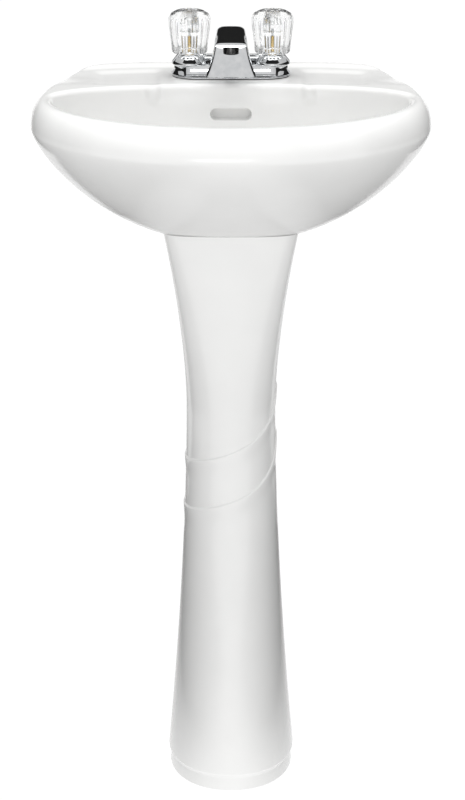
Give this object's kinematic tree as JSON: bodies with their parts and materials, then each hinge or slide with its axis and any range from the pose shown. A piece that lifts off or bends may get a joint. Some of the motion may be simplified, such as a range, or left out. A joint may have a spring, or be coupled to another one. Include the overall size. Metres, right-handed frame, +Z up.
{
  "type": "pedestal sink",
  "caption": "Bathroom pedestal sink with a wide oval basin, a slender open-backed pedestal, a centre-set tap with clear knobs and a push-down waste.",
  "frame": {"origin": "on the floor, below the middle of the whole object's width and depth", "axes": "+X to the user's right, +Y towards the wall, +Z up"},
  "size_m": [0.481, 0.41, 0.947],
  "materials": {
    "china": "gloss white glaze",
    "pedestal_china": "gloss white glaze",
    "pad_rubber": "matt",
    "tap_chrome": "polished",
    "tap_gasket_rubber": "matt",
    "aerator_chrome": "polished with a mesh",
    "bonnet_chrome": "polished",
    "cartridge_brass": "machined",
    "stem_brass": "machined",
    "knob_acrylic": "clear moulded acrylic",
    "screw_steel": "bright",
    "cap_clear": "clear with a plain marker disc",
    "shank_brass": "threaded",
    "washer_rubber": "matt",
    "shank_nut_brass": "machined",
    "drain_chrome": "polished",
    "seal_rubber": "matt",
    "drain_nut_brass": "machined",
    "tailpiece_chrome": "polished",
    "stopper_chrome": "polished",
    "post_plastic": "moulded",
    "trap_chrome": "polished",
    "slip_nut_chrome": "polished",
    "wall_flange_chrome": "polished"
  },
  "bodies": {
    "sink": {"basin": "china", "pedestal": "pedestal_china", "rest_pads": "pad_rubber", "tap_body": "tap_chrome", "tap_gasket": "tap_gasket_rubber", "aerator": "aerator_chrome", "bonnet_nuts": "bonnet_chrome", "cartridges": "cartridge_brass", "supply_shanks": "shank_brass", "shank_washers": "washer_rubber", "shank_nuts": "shank_nut_brass", "drain_flange": "drain_chrome", "drain_seal": "seal_rubber", "drain_gasket": "seal_rubber", "drain_nut": "drain_nut_brass", "tailpiece": "tailpiece_chrome", "post_guide": "post_plastic", "trap_bend": "trap_chrome", "trap_arm": "trap_chrome", "slip_nuts": "slip_nut_chrome", "slip_washers": "seal_rubber", "wall_flange": "wall_flange_chrome"},
    "hot_handle": {"hot_knob": "knob_acrylic", "hot_cap": "cap_clear", "hot_screw": "screw_steel", "hot_stem": "stem_brass"},
    "cold_handle": {"cold_knob": "knob_acrylic", "cold_cap": "cap_clear", "cold_screw": "screw_steel", "cold_stem": "stem_brass"},
    "stopper_set": {"stopper": "stopper_chrome", "stopper_post": "post_plastic", "stopper_seal": "seal_rubber"}
  },
  "joints": [
    {"name": "hot_turn", "type": "hinge", "parent": "sink", "child": "hot_handle", "pos_m": [-0.0508, 0.135, 0.9], "axis": [0, 0, 1], "range_deg": [0, 90]},
    {"name": "cold_turn", "type": "hinge", "parent": "sink", "child": "cold_handle", "pos_m": [0.0508, 0.135, 0.9], "axis": [0, 0, 1], "range_deg": [-90, 0]},
    {"name": "stopper_lift", "type": "slide", "parent": "sink", "child": "stopper_set", "axis": [0, 0, 1], "range_m": [0, 0.009]}
  ]
}
